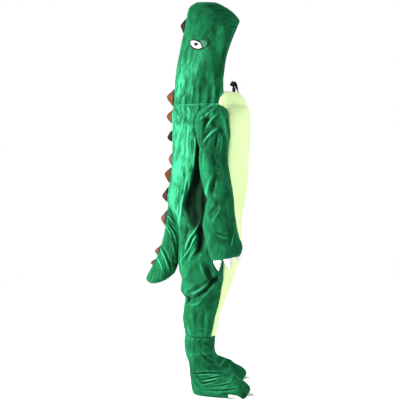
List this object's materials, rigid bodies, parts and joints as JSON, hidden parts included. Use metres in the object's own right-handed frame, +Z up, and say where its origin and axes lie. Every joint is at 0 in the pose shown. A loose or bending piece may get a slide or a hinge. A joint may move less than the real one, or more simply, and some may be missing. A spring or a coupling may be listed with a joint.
{
  "type": "costume onesie",
  "caption": "Hooded all-in-one costume of green plush with feet, stuffed tail, felt spikes and claws, lime belly panel and front zip, in its worn hollow form.",
  "frame": {"origin": "between the shoulders, level with the base of the neck, where the wearer's shoulders carry the garment", "axes": "+Z up along the body, the front faces -Y, the wearer's left is +X"},
  "size_m": [0.7036, 0.4765, 1.706],
  "materials": {
    "green_plush": "velour plush with a soft brushed nap and pale highlights",
    "lime_plush": "short velour plush, matte",
    "brown_felt": "matte felt",
    "white_felt": "matte felt",
    "black_felt": "satin-stitched patch",
    "pale_green_patch": "stitched patch",
    "black_tape": "woven zip tape",
    "dark_metal": "dark lacquered, half gloss"
  },
  "bodies": {
    "garment": {"hood_left": "green_plush", "hood_right": "green_plush", "back_left": "green_plush", "back_right": "green_plush", "belly_left": "lime_plush", "belly_right": "lime_plush", "sleeve_left": "green_plush", "sleeve_right": "green_plush", "boot_left": "green_plush", "boot_right": "green_plush", "sole_left": "green_plush", "sole_right": "green_plush", "tail": "green_plush", "hand_claw_left_1": "white_felt", "hand_claw_left_2": "white_felt", "hand_claw_left_3": "white_felt", "hand_claw_right_1": "white_felt", "hand_claw_right_2": "white_felt", "hand_claw_right_3": "white_felt", "foot_claw_left_1": "white_felt", "foot_claw_left_2": "white_felt", "foot_claw_left_3": "white_felt", "foot_claw_right_1": "white_felt", "foot_claw_right_2": "white_felt", "foot_claw_right_3": "white_felt", "eye_rim_left": "black_felt", "eye_white_left": "white_felt", "eye_pupil_left": "black_felt", "eye_lid_left": "pale_green_patch", "eye_rim_right": "black_felt", "eye_white_right": "white_felt", "eye_pupil_right": "black_felt", "eye_lid_right": "pale_green_patch", "spike_01": "brown_felt", "spike_02": "brown_felt", "spike_03": "brown_felt", "spike_04": "brown_felt", "spike_05": "brown_felt", "spike_06": "brown_felt", "spike_07": "brown_felt", "spike_08": "brown_felt", "spike_09": "brown_felt", "spike_10": "brown_felt", "zip_tape": "black_tape", "zip_slider": "dark_metal"},
    "pull": {"zip_pull": "dark_metal"}
  },
  "joints": [
    {"name": "zip_pull_swing", "type": "hinge", "parent": "garment", "child": "pull", "pos_m": [-0.0082, -0.136, 0.068], "axis": [0, 1, 0], "range_deg": [0, 150]}
  ]
}
